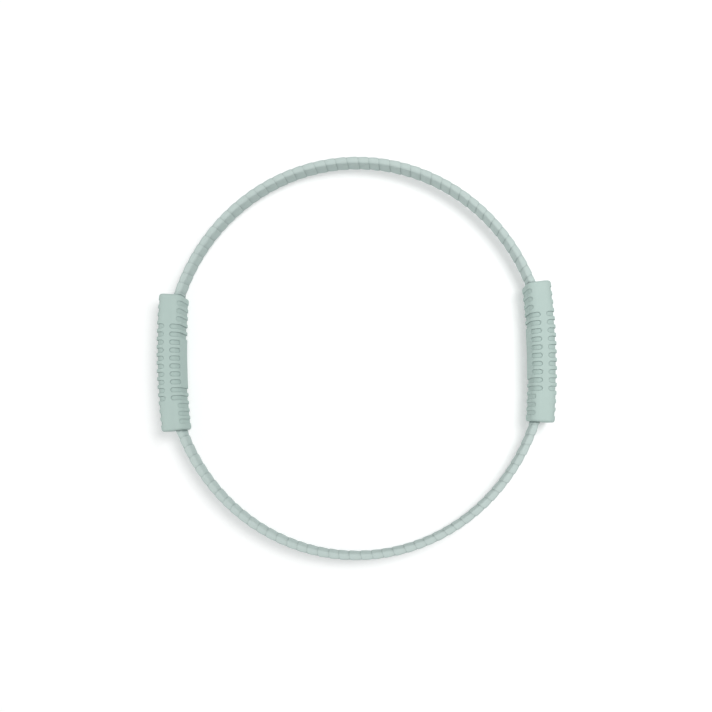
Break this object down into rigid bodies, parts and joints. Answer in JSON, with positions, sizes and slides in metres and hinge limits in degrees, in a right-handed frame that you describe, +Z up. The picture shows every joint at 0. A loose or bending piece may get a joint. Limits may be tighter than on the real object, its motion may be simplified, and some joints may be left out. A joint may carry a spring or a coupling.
{
  "type": "pilates ring",
  "caption": "Oval pilates ring: a flat spring hoop wound with cushioned tape between opposed moulded grips with grooves, squeezed or pressed apart for exercise.",
  "frame": {"origin": "on the floor under the ring's centre, with the ring lying flat on the undersides of its grips", "axes": "+Z up along the ring's axis; +X from the left grip to the right grip; +Y towards the upper free arc of the hoop"},
  "size_m": [0.375, 0.38, 0.034],
  "materials": {
    "spring_steel": "brushed",
    "cushion_tape": "matte",
    "grip_rubber": "matte",
    "core_plastic": "matte",
    "screw_steel": "satin"
  },
  "bodies": {
    "hoop": {"inner_spring_leaf": "spring_steel", "outer_spring_leaf": "spring_steel", "upper_tape_wrap": "cushion_tape", "lower_tape_wrap": "cushion_tape"},
    "left_handle": {"left_grip_sleeve": "grip_rubber", "left_inner_core": "core_plastic", "left_outer_core": "core_plastic", "left_core_screws": "screw_steel"},
    "right_handle": {"right_grip_sleeve": "grip_rubber", "right_inner_core": "core_plastic", "right_outer_core": "core_plastic", "right_core_screws": "screw_steel"}
  },
  "joints": [
    {"name": "left_squeeze", "type": "slide", "parent": "hoop", "child": "left_handle", "axis": [1, 0, 0], "range_m": [-0.012, 0.04], "stiffness_N_per_m": 3000, "deforming": ["inner_spring_leaf", "outer_spring_leaf", "upper_tape_wrap", "lower_tape_wrap"]},
    {"name": "right_squeeze", "type": "slide", "parent": "hoop", "child": "right_handle", "axis": [-1, 0, 0], "range_m": [-0.012, 0.04], "stiffness_N_per_m": 3000, "deforming": ["inner_spring_leaf", "outer_spring_leaf", "upper_tape_wrap", "lower_tape_wrap"]}
  ],
  "couplings": [
    {"joint": "right_squeeze", "follows": "left_squeeze", "ratio": 1}
  ]
}
